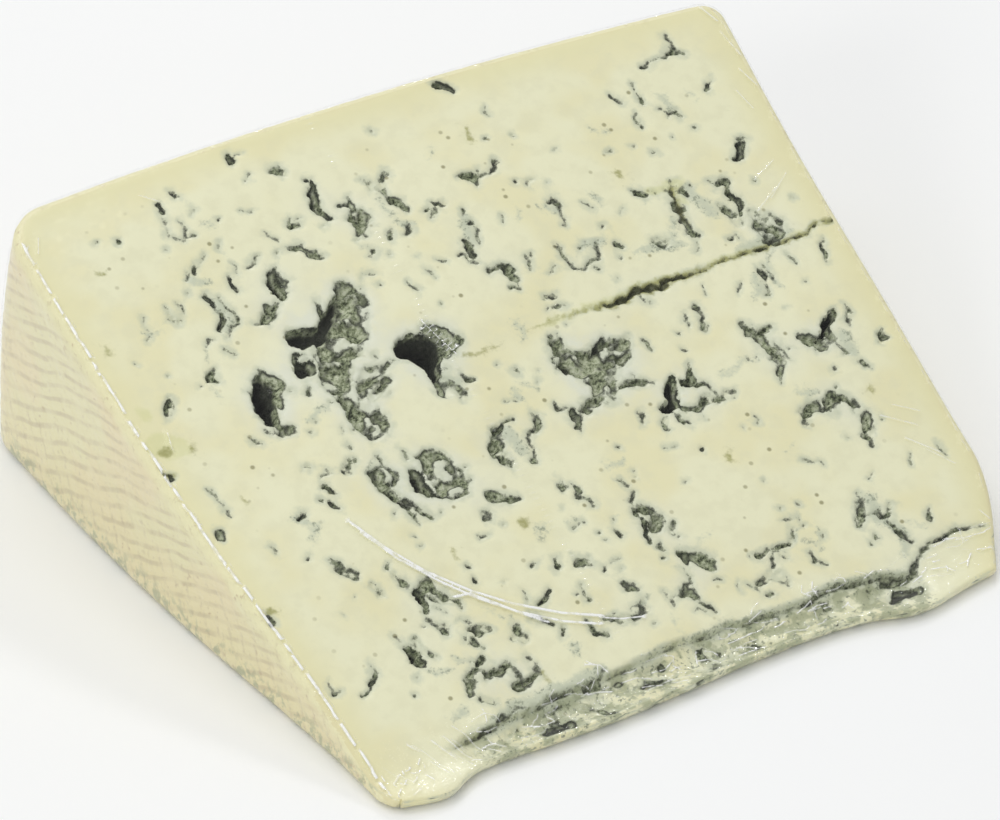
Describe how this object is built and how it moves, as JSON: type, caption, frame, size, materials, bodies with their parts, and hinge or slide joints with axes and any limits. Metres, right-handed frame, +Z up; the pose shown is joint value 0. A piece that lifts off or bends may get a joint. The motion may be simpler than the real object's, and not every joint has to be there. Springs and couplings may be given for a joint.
{
  "type": "blue cheese wedge",
  "caption": "Wedge of blue-veined cheese cut from a wheel, lying on one cut face with its flat side, rim and torn nose, wrapped tightly in clear film.",
  "frame": {"origin": "centre of the bounding box, on the flat lower cut face", "axes": "+X along the axis of the wheel that the wedge was cut from, +Y from the torn nose towards the rim, +Z up"},
  "size_m": [0.108, 0.099, 0.0392],
  "materials": {
    "cheese": "moist ivory paste with blue-grey mould in its openings, and a thin pale pressed rind",
    "film": "thin clear wrap, tight, with fine creases"
  },
  "bodies": {
    "root": {"blue_cheese_wedge": "cheese"}
  },
  "joints": []
}
